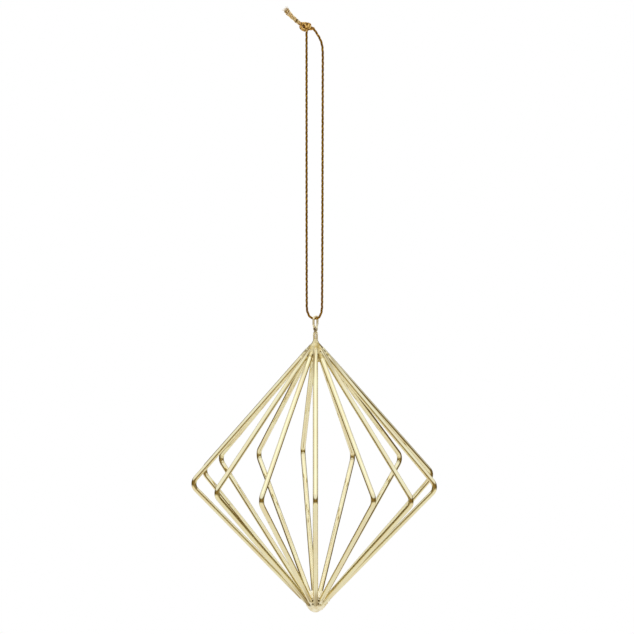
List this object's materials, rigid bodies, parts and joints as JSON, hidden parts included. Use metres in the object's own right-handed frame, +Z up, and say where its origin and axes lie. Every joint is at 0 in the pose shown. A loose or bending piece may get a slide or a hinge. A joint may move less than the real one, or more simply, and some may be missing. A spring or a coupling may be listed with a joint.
{
  "type": "himmeli ornament",
  "caption": "Hanging double-cone ornament of bent gold wire ribs brazed at top and bottom, on a knotted cord loop.",
  "frame": {"origin": "top of the hanging loop, inside it, where a hook or twig holds it", "axes": "+Z up along the hanging ornament's axis, -Y to the front"},
  "size_m": [0.0964, 0.0997, 0.2405],
  "materials": {
    "wire": "satin pale gold",
    "braze": "satin pale gold, slightly rough",
    "cord": "twisted metallic thread, bronze"
  },
  "bodies": {
    "cord_loop": {"cord_left_strand": "cord", "cord_right_strand": "cord", "cord_knot": "cord", "cord_tail_upper": "cord", "cord_tail_lower": "cord"},
    "cord_turn": {"cord_bight": "cord"},
    "cage": {"rib_01": "wire", "rib_02": "wire", "rib_03": "wire", "rib_04": "wire", "rib_05": "wire", "rib_06": "wire", "rib_07": "wire", "rib_08": "wire", "rib_09": "wire", "rib_10": "wire", "rib_11": "wire", "rib_12": "wire", "rib_13": "wire", "rib_14": "wire", "top_braze": "braze", "bottom_braze": "braze", "hanging_eye": "wire"}
  },
  "joints": [
    {"name": "loop_twist", "type": "hinge", "parent": "cord_loop", "child": "cord_turn", "pos_m": [0, 0, -0.114], "axis": [0, 0, 1], "range_deg": [-170, 170], "stiffness_Nm_per_rad": 0.000046, "deforming": ["cord_left_strand", "cord_right_strand"]},
    {"name": "eye_swing", "type": "hinge", "parent": "cord_turn", "child": "cage", "pos_m": [0, 0, -0.114], "axis": [1, 0, 0], "range_deg": [-90, 90]}
  ]
}
